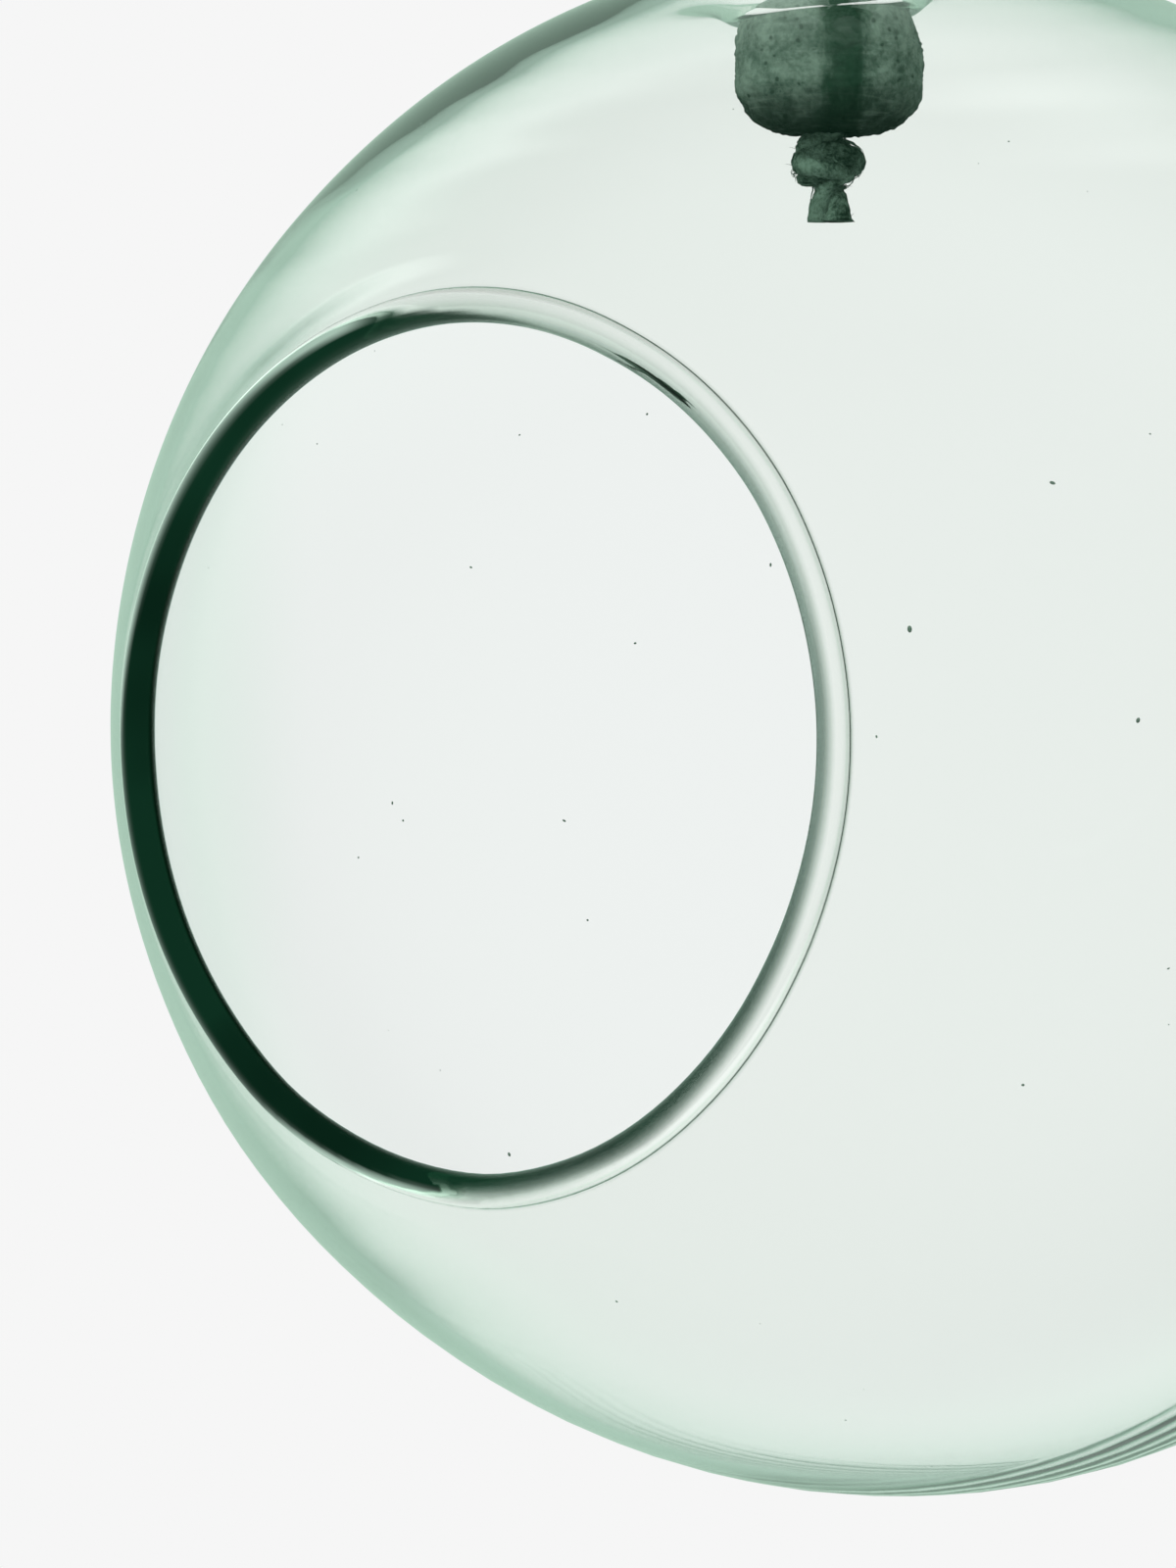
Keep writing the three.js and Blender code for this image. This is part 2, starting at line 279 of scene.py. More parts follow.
def addMottle(tree, place, look):
    coarse, fine = look["grain"]
    inputs = {"Place": place, "Coarse": coarse, "Fine": fine, "Dark": look["dark"], "Light": look["light"]}
    made = addNode(tree, "Group", inputs, node_tree=mottle).outputs
    return made["Colour"], made["Height"]


# Rope: three strands of twisted yarn, with loose fibres that stand off them and others that lie on them
rope = dict(
    radius=2.5 * mm, step=0.5 * mm, lineSteps=80,
    lay=19 * mm,  # length of one turn of the strands
    strands=3, strandRadius=1.42 * mm, strandOffset=1.08 * mm, strandSides=36,
    yarns=9, yarnRidge=0.04, yarnTwist=2.4,
    levelSteps=6,  # last steps of a cut end that hangs straight down
    # Loose fibres and lying ones, which begin at a share of the rope's radius
    fibreRadius=0.045 * mm, fibreSteps=6, fibreRoot=0.93, fibreLift=(0.175, 0.7), fibreAlong=0.9,
    fibreAside=0.8, fibreBend=0.35, fibreTaper=0.6,
    lyingSteps=(5, 16), lyingRoot=(0.84, 0.98), lyingSag=0.03, lyingSlant=0.55, lyingCurve=0.2,
    lyingThick=(0.8, 2.0), lyingTaper=0.5,
    grain=(220.0, 1500.0), dark=linear(22, 38, 29), light=linear(98, 122, 108),
    bump=0.5, bumpDepth=0.4 * mm, roughness=0.9, gloss=0.04)
ropeLook, ropeTree = newMaterial("rope")
roughSurface(ropeTree, *addMottle(ropeTree, placeOn(ropeTree), rope), rope)


def pathFrames(path, levelEnd=False):
    ahead = unit(np.gradient(path, axis=0))
    if levelEnd:
        ahead[-rope["levelSteps"]:] = (0, 0, -1)
    side = np.zeros_like(path)
    carried = np.array((1.0, 0, 0)) if abs(ahead[0][0]) < 0.9 else np.array((0, 1.0, 0))
    for index, heading in enumerate(ahead):
        carried = unit(carried - heading * carried.dot(heading))
        side[index] = carried
    return ahead, side, np.cross(ahead, side)


def looseFibres(draw, frames, count, reach):
    points, ahead, side, cross, widths = frames
    parts = []
    share = np.linspace(0, 1, rope["fibreSteps"])[:, None]
    thin = rope["fibreRadius"] * (1 - rope["fibreTaper"] * share)
    for _ in range(count):
        index = draw.integers(1, len(points) - 1)
        angle = draw.uniform(0, turn)
        out = cos(angle) * side[index] + sin(angle) * cross[index]
        start = points[index] + rope["fibreRoot"] * widths[index] * rope["radius"] * out
        aside = np.cross(ahead[index], out)
        heading = unit(draw.uniform(*rope["fibreLift"]) * out
                       + draw.normal(0, rope["fibreAlong"]) * ahead[index]
                       + draw.normal(0, rope["fibreAside"]) * aside)
        length = draw.uniform(*reach)
        bend = draw.normal(0, rope["fibreBend"], 3)
        line = start + length * (share * heading + share ** 2 * bend)
        across = unit(np.cross(heading, out + 0.01))
        over = np.cross(heading, across)
        parts.append(roundTube(line, thin, 3, across[None], over[None]))
    return parts


def lyingFibres(draw, frames, count):
    points, _, side, cross, widths = frames
    parts = []
    for _ in range(count):
        length = draw.integers(*rope["lyingSteps"])
        first = draw.integers(0, max(1, len(points) - length))
        picked = np.arange(first, min(first + length, len(points)))
        share = np.linspace(-1, 1, len(picked))
        angle = draw.uniform(0, turn) + draw.normal(0, rope["lyingSlant"]) * share
        angle = angle + draw.normal(0, rope["lyingCurve"]) * share ** 2
        angle = angle + turn * picked * rope["step"] / rope["lay"]
        out = np.cos(angle)[:, None] * side[picked] + np.sin(angle)[:, None] * cross[picked]
        height = draw.uniform(*rope["lyingRoot"]) + rope["lyingSag"] * share ** 2
        line = points[picked] + (height * widths[picked] * rope["radius"])[:, None] * out
        over = np.cross(unit(np.gradient(line, axis=0)), out)
        thick = draw.uniform(*rope["lyingThick"]) * rope["fibreRadius"]
        thick = thick * (1 - rope["lyingTaper"] * share ** 2)
        parts.append(roundTube(line, thick[:, None], 4, out, over))
    return parts


def laidRope(path, draw, fibres=0, reach=None, lying=0, widths=None, levelEnd=False):
    points, along = evenPath(path, rope["step"])
    ahead, side, cross = pathFrames(points, levelEnd)
    widths = np.ones(len(points)) if widths is None else widths(along / along[-1])
    ring = turn * np.arange(rope["strandSides"]) / rope["strandSides"]
    parts = []
    for strand in range(rope["strands"]):
        laid = turn * (along / rope["lay"] + strand / rope["strands"])[:, None]
        offset = (rope["strandOffset"] * widths)[:, None]
        centre = points + offset * (np.cos(laid) * side + np.sin(laid) * cross)
        ridge = 1 + rope["yarnRidge"] * np.cos(rope["yarns"] * (ring + rope["yarnTwist"] * laid))
        width = rope["strandRadius"] * widths[:, None] * ridge
        parts.append(roundTube(centre, width, rope["strandSides"], side, cross))
    frames = points, ahead, side, cross, widths
    return parts + looseFibres(draw, frames, fibres, reach) + lyingFibres(draw, frames, lying)


def plumbLine(low, high):
    return np.array([(0, 0, height) for height in np.linspace(low, high, rope["lineSteps"])])


def ropePiece(name, look, path, widths=None, levelEnd=False, core=None):
    draw = np.random.default_rng(look["seed"])
    parts = laidRope(path, draw, look["fibres"], look["reach"], look["lying"], widths, levelEnd)
    if core is not None:
        parts += laidRope(core, draw)
    return makePiece(name, parts, ropeLook)


# Hanging rope: taut, from the stopper knot up into the loop knot
tautRope = dict(topGap=1.5 * mm, knotGap=0.3 * mm, fibres=170, reach=(1 * mm, 2 * mm), lying=260, seed=11)
ropeLine = plumbLine(ropeLow.z - tautRope["knotGap"], ropeHigh.z + tautRope["topGap"])
hangingPiece = ropePiece("hanging_cord", tautRope, ropeLine)
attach(hangingPiece, "rope")
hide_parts("hanging_rope")

# Stopper knot: nearly two turns pressed together under the stopper, tucked through to the cut end
knot = dict(
    turns=1.75, pitch=2.4 * mm, lead=2 * mm, steps=120, smooth=(0.25, 10),
    firstAngle=-210,  # degrees, from the right of the view towards the viewer
    topGap=2.6 * mm,  # first turn's centre below the stopper
    radii=((0, 2.3 * mm), (0.33, 2.95 * mm), (0.62, 3.15 * mm), (1, 1.0 * mm)),
    aside=(-0.05 * mm, -0.5 * mm), neckAside=-0.6 * mm, cutAside=0.35 * mm,
    widths=((0, 1.1), (0.08, 1.26), (0.8, 1.24), (0.89, 0.98), (1, 1.58)),
    fibres=70, reach=(0.5 * mm, 1.7 * mm), lying=420, seed=21)
tailLow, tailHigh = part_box("rope_tail")
share = np.linspace(0, 1, knot["steps"])
knotAngle = radians(knot["firstAngle"]) + turn * knot["turns"] * share
asideFirst, asideLast = knot["aside"]
knotRadius = np.interp(share, *zip(*knot["radii"]))
across = knotRadius * np.cos(knotAngle) + asideFirst + (asideLast - asideFirst) * share
nearer = knotRadius * np.sin(knotAngle)
knotPath = across[:, None] * viewRight + nearer[:, None] * viewBack * (1, 1, 0)
knotPath[:, 2] = stopperLow.z - (knot["topGap"] + knot["pitch"] * knot["turns"] * share)
neck = knot["neckAside"] * viewRight + (0, 0, tailHigh.z)
cut = knot["cutAside"] * viewRight + (0, 0, tailLow.z)
lead = (0, 0, ropeLow.z + knot["lead"]), (0, 0, ropeLow.z)
knotPath = evenPath(np.concatenate((lead, knotPath, (neck, cut))), rope["step"])[0]
relax(knotPath, *knot["smooth"])


def knotWidth(share):
    return np.interp(share, *zip(*knot["widths"]))


knotPiece = ropePiece("stopper_knot_rope", knot, knotPath, knotWidth, levelEnd=True)
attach(knotPiece, "rope")
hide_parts("stopper_knot", "rope_tail")

# Loop knot: turns round the doubled rope, ending in a cut tail
coil = dict(
    turns=2.3, tuck=2 * mm, steps=90, smooth=(0.25, 12),
    # Three points down the tail: the first from the lowest turn, the others from the cut end
    tail=((2 * mm, -6.5 * mm, -1 * mm), (1 * mm, 3 * mm, 5 * mm), (0, 2 * mm, 0)),
    width=0.97, cutWider=0.14, cutFrom=0.9,
    coreBelow=2 * mm, coreShort=1 * mm,  # doubled rope inside: past the knot's foot, short of its top
    fibres=110, reach=(1.5 * mm, 4 * mm), lying=0, seed=31)
loopLow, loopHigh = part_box("loop_knot")
loopTailLow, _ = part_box("loop_tail")
loopMiddle = (loopLow.z + loopHigh.z) / 2
coilRadius = (loopHigh.x - loopLow.x) / 2 - rope["radius"]
coilSpan = loopHigh.z - loopLow.z - 2 * rope["radius"]
share = np.linspace(0, 1, coil["steps"])
coilAngle = turn * (coil["turns"] * (share - 1)) - turn / 4
coilPath = np.stack((coilRadius * np.cos(coilAngle), coilRadius * np.sin(coilAngle),
                     loopMiddle + coilSpan * (0.5 - share)), axis=1)
cutEnd = (0, loopTailLow.y, loopTailLow.z)
tailDown = np.array(((0, 0, loopMiddle - coilSpan / 2), cutEnd, cutEnd)) + coil["tail"]
tuckIn = (0, 0, loopHigh.z - coil["tuck"]), coilPath[0] * (0.5, 0.5, 1)
coilPath = np.concatenate((tuckIn, coilPath, tailDown))
relax(coilPath, *coil["smooth"])
coreLine = plumbLine(loopLow.z - coil["coreBelow"], loopHigh.z - coil["coreShort"])


def coilWidth(share):
    cutShare = (share - coil["cutFrom"]) / (1 - coil["cutFrom"])
    return coil["width"] + coil["cutWider"] * smoothStep(cutShare)


loopKnotPiece = ropePiece("loop_knot_rope", coil, coilPath, coilWidth, core=coreLine)
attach(loopKnotPiece, "loop_knot")
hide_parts("loop_knot", "loop_tail")

# Hanging loop: up one side, over the hook and down the other
loop = dict(
    crownRadius=12 * mm, crownDrop=9.5 * mm, crownSteps=60,
    crownHalf=115,  # degrees to each side
    legApart=2.8 * mm, legSteps=40, smooth=(0.3, 30),
    legBelow=2 * mm,  # how far the legs run into the knot
    fibres=190, reach=(1.5 * mm, 4 * mm), lying=0, seed=41)
hangLow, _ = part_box("hanging_loop")
crownHalf = radians(loop["crownHalf"])
crown = np.linspace(-crownHalf, crownHalf, loop["crownSteps"])
arch = np.stack((loop["crownRadius"] * np.sin(crown), 0 * crown,
                 loop["crownRadius"] * np.cos(crown) - loop["crownDrop"]), axis=1)
footZ = hangLow.z - loop["legBelow"]
legTop = arch[-1]
legShare = np.linspace(0, 1, loop["legSteps"])[1:, None]
ease = smoothStep(legShare)
leg = np.concatenate((legTop[0] + (loop["legApart"] - legTop[0]) * ease, 0 * ease,
                      legTop[2] + (footZ - legTop[2]) * legShare), axis=1)
loopPath = np.concatenate((leg[::-1] * (-1, 1, 1), arch, leg))
relax(loopPath, *loop["smooth"])
loopPiece = ropePiece("hanging_loop_rope", loop, loopPath)
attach(loopPiece, "loop")
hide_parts("hanging_loop")

print("rope done")

# Stopper: cork turned to a ball-shaped shoulder, rough and pitted, darker down its front, with painted shade
# at its foot
cork = dict(
    shoulder=14.7 * mm, fillet=9.3 * mm, topRadius=9 * mm, topFillet=1.5 * mm,
    shoulderEnd=52,  # degrees up from the shoulder's middle
    bore=2.7 * mm, boreDepth=6 * mm, columns=220, step=0.35 * mm, seed=5, rough=0.6 * mm, boreSlack=0.2 * mm,
    lumps=((0.45, 2.6 * mm, 1), (0.6, 0.9 * mm, 1), (0.25, 0.5 * mm, 5)),  # share, size, how much wider
    pits=70, pitDepth=0.5 * mm, pitSizes=(0.35 * mm, 0.9 * mm), pitFlat=(1.2, 2.4), pitShare=(0.4, 1),
    seat=(4 * mm, 12.5 * mm), seatFade=2 * mm,  # heights over the shoulder's middle that bear on the glass
    grain=(190.0, 900.0), dark=linear(64, 84, 73), light=linear(110, 130, 118),
    bump=0.6, bumpDepth=0.5 * mm, roughness=0.9, gloss=0.04,
    poreScale=430.0, poreFade=(0.1, 0.22, 0.75), poreColour=linear(34, 50, 41),
    frontBandBearing=10.5,  # degrees right of the view's middle
    frontBand=linear(14, 46, 30), frontBandShow=0.85, frontBandEdge=(1.8 * mm, 4.8 * mm), frontBandFacing=(2 * mm, 6 * mm),
    frontBandTall=(1.0, 1.0, 0.3), frontBandNoise=(520.0, 5.0, 0.65), frontBandWaver=5 * mm,
    # Painted shade: the shoulder darker towards its bottom
    footShade=linear(6, 18, 11), footShadeShow=0.93, footShadeFade=(-10 * mm, -0.5 * mm), footShadeWaver=6 * mm,
    lineFlat=(0.09, 0.09, 1.0), lineNoise=(1200.0, 4.0), lineFade=(0.5, 0.75, 0.0, 0.16),
    lineColour=linear(140, 160, 148))


def corkProfile():
    drop, rise = hang["shoulderRise"], stopperHigh.z - shoulder[2]
    bore, depth, fillet, topFillet = cork["bore"], cork["boreDepth"], cork["fillet"], cork["topFillet"]

    def arc(across, height, radius, low, high, steps):
        angle = np.radians(np.linspace(low, high, steps))[::-1]
        return np.stack((across + radius * np.cos(angle), height + radius * np.sin(angle)), axis=1)

    line = np.concatenate((
        ((bore, rise - depth), (bore, rise)),
        arc(cork["topRadius"] - topFillet, rise - topFillet, topFillet, cork["shoulderEnd"] / 2, 90, 10),
        arc(0, 0, cork["shoulder"], 0, cork["shoulderEnd"], 40)[:-1],
        arc(cork["shoulder"] - fillet, fillet - drop, fillet, -90, 0, 40),
        ((bore, -drop), (bore, depth - drop))))
    flat = np.stack((line[:, 0], 0 * line[:, 0], line[:, 1]), axis=1)
    return evenPath(flat, cork["step"])[0]


def corkPiece(material):
    profile = corkProfile()
    draw = np.random.default_rng(cork["seed"])
    angle = turn * np.arange(cork["columns"]) / cork["columns"]
    along = np.gradient(profile, axis=0)
    outward = unit(np.stack((-along[:, 2], 0 * along[:, 0], along[:, 0]), axis=1))
    spread = np.stack((np.cos(angle), np.sin(angle)), axis=1)

    def turned(line):
        return np.concatenate((line[:, None, :1] * spread,
                               np.repeat(line[:, None, 2:], len(angle), axis=1)), axis=2)

    points, normals = turned(profile), turned(outward)
    half = len(profile) // 2
    if normals[half, 0].dot(points[half, 0]) < 0:
        normals = -normals
    flat = points.reshape(-1, 3)
    lumps = np.array([
        sum(part * noise.noise(Vector((x / wider, y / wider, z)) / size)
            for part, size, wider in cork["lumps"]) for x, y, z in flat])
    push = cork["rough"] * lumps
    for _ in range(cork["pits"]):
        centre = flat[draw.integers(0, len(flat))]
        size = draw.uniform(*cork["pitSizes"])
        flatter = np.array((1, 1, draw.uniform(*cork["pitFlat"])))
        away = np.linalg.norm((flat - centre) * flatter, axis=1) / size
        push = push - cork["pitDepth"] * draw.uniform(*cork["pitShare"]) * np.exp(-away ** 4)
    seatLow, seatHigh = cork["seat"]
    seat = smoothStep((flat[:, 2] - seatLow) / cork["seatFade"])
    seat = seat * smoothStep((seatHigh - flat[:, 2]) / cork["seatFade"])
    push = push - seat * np.maximum(push, 0)
    inBore = np.hypot(flat[:, 0], flat[:, 1]) < cork["bore"] + cork["boreSlack"]
    push = np.where(inBore, 0, push)
    flat = flat + push[:, None] * normals.reshape(-1, 3) + shoulder
    return makePiece("cork_stopper", [(flat, tubeFaces(len(profile), len(angle)))], material)


def corkMaterial():
    material, tree = newMaterial("cork")
    place = placeOn(tree)
    colour, height = addMottle(tree, place, cork)
    pores = addNode(tree, "TexVoronoi", {"Vector": place, "Scale": cork["poreScale"]}).outputs["Distance"]
    colour = mix(tree, fall(tree, pores, *cork["poreFade"]), colour, cork["poreColour"])

    # A darker band down the front, and painted shade at the foot, both with wavering edges
    frontBandAngle = azimuth - turn / 4 + radians(cork["frontBandBearing"])
    facing = dot(tree, place, (cos(frontBandAngle), sin(frontBandAngle), 0))
    aside = dot(tree, place, (-sin(frontBandAngle), cos(frontBandAngle), 0))
    tall = addNode(tree, "Mapping", {"Vector": place, "Scale": cork["frontBandTall"]}).outputs["Vector"]
    waver = noiseValue(tree, tall, *cork["frontBandNoise"])
    stray = times(tree, doMath(tree, "SUBTRACT", waver, 0.5), cork["frontBandWaver"])
    aside = doMath(tree, "ABSOLUTE", doMath(tree, "ADD", aside, stray))
    frontBand = times(tree, fall(tree, aside, *cork["frontBandEdge"]), ramp(tree, facing, *cork["frontBandFacing"]),
                  cork["frontBandShow"])
    colour = mix(tree, frontBand, colour, cork["frontBand"])
    # Painted shade: darker towards the bottom of the shoulder
    level = addNode(tree, "SeparateXYZ", {"Vector": place}).outputs["Z"]
    level = doMath(tree, "ADD", level, times(tree, waver, cork["footShadeWaver"]))
    footLow, footHigh = cork["footShadeFade"]
    footShade = fall(tree, level, shoulder[2] + footLow, shoulder[2] + footHigh, cork["footShadeShow"])
    colour = mix(tree, footShade, colour, cork["footShade"])

    # Pale lines across the grain
    wide = addNode(tree, "Mapping", {"Vector": place, "Scale": cork["lineFlat"]}).outputs["Vector"]
    lines = ramp(tree, noiseValue(tree, wide, *cork["lineNoise"]), *cork["lineFade"])
    lines = times(tree, lines, doMath(tree, "SUBTRACT", 1.0, frontBand))
    colour = mix(tree, lines, colour, cork["lineColour"])
    roughSurface(tree, colour, height, cork)
    return material


stopperPiece = corkPiece(corkMaterial())
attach(stopperPiece, "stopper")
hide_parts("stopper")
print("stopper done")

# Globe: a blown shell, drawn out to a bead round its side opening and dipped to a bead round its crown
glass = dict(
    radius=120 * mm, columns=256, wall=3.2 * mm,
    baseThinner=0.9 * mm, baseFrom=0.7, baseOver=0.25,  # thinner wall low down, in shares of the radius
    # A thick patch and bulges in its outline: degrees round the view, height in mm, spread in degrees
    thicker=(119, 0.65, 11),
    bulges=((62, -1.5, 20), (136, -0.3, 9), (190, 0.4, 12), (213, 0.3, 7), (237, -0.6, 14), (292, 0.7, 14)),
    bulgeClear=14,  # degrees round the crown without bulges
    unevenWall=0.35 * mm, unevenScale=1.7, unevenFrom=(7, 3, 1),
    cordScale=(1.2, 1.2, 26), cordInside=0.02 * mm, cordOutside=0.012 * mm,  # fine level cords in the glass
    beadClear=5 * mm, lipFade=8 * mm, crownFade=10 * mm,  # no unevenness close to a bead
    lipRing=64.6 * mm,  # opening bead's centre line
    lipReach=122.1 * mm,  # its distance from the globe's centre
    lipBead=2.6 * mm, lipSteps=14, lipDraw=44 * mm, lipSpring=3.8 * mm,
    joint=0.2 * mm,  # softness of the crease between bead and wall
    # Width of the fine net round the opening, where its rows are closest, and where the last ones begin
    lipNet=12 * mm, lipClose=(4.4 * mm, 1.1 * mm), lipInner=0.8 * mm,
    crownRing=28.2 * mm, crownLip=14.25 * mm, crownLipHeight=111.3 * mm, crownBead=1.7 * mm,
    crownRows=21, crownSteps=12,
    # How far the opening strays from a true circle, in mm by degrees round it
    lipWander=((0, 0), (15, 0.4), (30, 0.7), (45, 0.4), (60, 0), (90, 0.15), (120, 0), (150, 0.3),
               (165, 0.7), (180, 0.4), (200, 1.2), (216, 1.5), (228, 2.2), (240, 1.6), (252, 1.3),
               (264, 1.2), (276, 0.2), (285, -0.4), (294, -1), (303, -1.45), (312, -1.6), (324, -1.6),
               (335, -1.2), (348, -0.5)),
    wanderReach=24 * mm,
    # Painted shade round the bead, darker from its outer face (0 degrees) to the side that faces the hole
    # (90)
    rimShadeTints=((0, (1, 1, 1)), (10, (0.8, 0.84, 0.82)), (20, (0.5, 0.58, 0.53)), (32, (0.25, 0.32, 0.28)),
              (46, (0.1, 0.15, 0.12)), (64, (0.06, 0.1, 0.08)), (90, (0.05, 0.09, 0.07))),
    # How strong that painted shade is, by degrees round the opening
    rimShadeGain=((0, 1.2), (40, 0.9), (70, 0.5), (110, 0.45), (180, 1.0), (250, 1.0), (310, 1.1)),
    # Its painted shade, a dark band, by degrees round the opening: where on the bead it begins, over how
    # much, and how deep
    shadeFrom=((0, 60), (60, 80), (82, 64), (90, 48), (97, 31), (104, 25), (109, 32), (114, 38), (120, 26),
               (127, 12), (134, 13), (140, 18), (150, 12), (158, 20), (168, 10), (175, -10), (186, -45),
               (195, -50), (230, -50), (240, -30), (246, -2), (252, 30), (258, 45), (264, 45), (270, 33),
               (282, 25), (288, 5), (294, -9), (300, -3), (312, 6), (330, 4), (340, 20), (350, 40)),
    shadeOver=((0, 40), (90, 20), (108, 20), (116, 35), (126, 70), (140, 58), (150, 40), (160, 22),
               (235, 22), (245, 30), (256, 34), (264, 42), (270, 80), (290, 90), (330, 90)),
    shadeDeep=((0, 0), (72, 0), (80, 0.5), (88, 1), (262, 1), (270, 0.85), (280, 0.7), (300, 0.55),
               (318, 0.4), (335, 0.2), (350, 0)),
    shadePower=3.2, shadeColour=(0.0, 0.0004, 0.0001, 1),
    shadeRows=9,  # rows round the bead, past its outer face
    # Painted glow: light emitted by all the glass, stronger in the shaded band
    glowPlain=(0.0005, 0.003, 0.0015, 1), glowShade=(0.0042, 0.028, 0.014, 1),
    glowNoise=(28.0, 2.0), glowPatches=(0.3, 0.7, 0.5, 1.3),
    # The painted sheen, emitted light that tapers it: degrees round the opening, where on the bead it
    # begins, over how much, where it ends, and how strong it is
    sheen=((0, 52, 30, 6, 0), (100, 52, 22.3, 6, 0), (104, 52, 22, 6, 1), (108, 48, 20, -4, 0.9),
           (115, 45, 26, -8, 0.85), (122, 48, 46, -16, 0.75), (129, 56, 62, -22, 0.6),
           (136, 55, 58, -23, 0.55), (148, 48, 44, -24.7, 0.55), (159, 42, 30, -25.1, 0.6),
           (169, 28, 16, -25.2, 0.4), (175, 26.5, 16.6, -25.3, 0), (228, 26.8, 21.5, -25.9, 0),
           (233, 28, 22, -26, 0.5), (240, 28, 20, -14, 0.85), (247, 38, 22, -8, 0.85),
           (255, 46, 28, 4, 0.85), (261, 44.3, 26.3, 14.3, 0.4), (262, 44, 26, 16, 0.32),
           (266, 44.3, 26.2, 15.6, 0)),
    sheenColour=(0.42, 0.57, 0.48, 1), sheenFade=10, sheenRows=7,
    # Painted shade along the crease between bead and wall
    creaseShadeColour=(0.48, 0.55, 0.5, 1), creasePower=1.5,
    creaseAway=2.15 * mm, creaseInside=1.7 * mm, creaseOutside=0.35 * mm,
    creaseShadeGain=((0, 1), (40, 0.8), (60, 0.35), (110, 0.3), (130, 0.6), (160, 1), (230, 1), (260, 0.7),
                (290, 0.7), (330, 1)),
    # Rings that the blowing left round the base, in radians from an axis turned towards the opening: their
    # bump is real, their darkening painted shade
    ringAside=24, ringFrom=(1.375, 1.425), ringTo=(1.6032, 1.6632),
    ringLow=(-0.8, -0.3), ringLeft=(-0.66, -0.08), ringRight=(0.38, 0.85), ringNear=(-0.24, 0.02),
    ringPitch=6.2 * mm, ringNoise=(1.8, 1.0), ringWaver=5.0, ringRise=0.05 * mm,
    ringShadeColour=(0.3, 0.42, 0.36, 1), ringShadeFade=(-0.6, 0.6, 0.35, 1.0), ringShadeRight=(0.34, 0.7),
    # A greener patch in the far wall
    farBack=(-0.34, -0.2), farLeft=(-0.95, -0.78), farColour=(0.9, 0.955, 0.92, 1),
    # Painted shade: a grey streak outside the lip, in radians from the opening's axis
    streakShadeFrom=(0.576, 0.6004), streakShadeTo=(0.6318, 0.6894), streakShadeLow=(0.08, 0.17), streakShadeHigh=(0.42, 0.52),
    streakShadeLeft=(-0.75, -0.6), streakShadeColour=(0.7, 0.78, 0.74, 1),
    absorb=(10.0, 5.0, 11.0), density=12.1, bending=1.5,
    mirrorTint=(0.3, 0.3, 0.3, 1), shadowTint=(0.93, 0.96, 0.945, 1))


def sphereNet(coneA, coneB, columns):
    # Orthogonal net on the unit sphere between a circle about -Y and a circle about +Z
    across = np.array((0, -cos(coneA), cos(coneB)))
    along = np.array((0, cos(coneB), cos(coneA)))
    size = np.linalg.norm(across)
    reach = sqrt(1 - 1 / size ** 2)
    poleB = across / size ** 2 + reach * along / size
    poleA = across / size ** 2 - reach * along / size
    axisX = np.array((1.0, 0, 0))
    axisY = np.cross(poleB, axisX)

    def flatten(place):
        depth = 1 - place.dot(poleB)
        return np.array((place.dot(axisX), place.dot(axisY))) / depth

    middle = flatten(poleA)
    sizeA = np.linalg.norm(flatten(np.array((sin(coneA), -cos(coneA), 0))) - middle)
    sizeB = np.linalg.norm(flatten(np.array((sin(coneB), 0, cos(coneB)))) - middle)
    rows = round(abs(log(sizeB / sizeA)) / (turn / columns)) + 1
    size = np.geomspace(sizeB, sizeA, rows)[:, None]
    angle = turn * np.arange(columns)[None] / columns
    flatX, flatY = middle[0] + size * np.cos(angle), middle[1] + size * np.sin(angle)
    square = flatX ** 2 + flatY ** 2
    places = (2 * flatX[..., None] * axisX + 2 * flatY[..., None] * axisY
              + (square - 1)[..., None] * poleB)
    return places / (square + 1)[..., None]


def roundOpening(table, angles, column=1):
    degrees = np.arange(360)
    rows = np.array(table).T
    values = np.interp(degrees, rows[0], rows[column], period=360)
    for _ in range(8):
        values = (np.roll(values, 1) + 2 * values + np.roll(values, -1)) / 4
    return np.interp(angles, degrees, values, period=360)


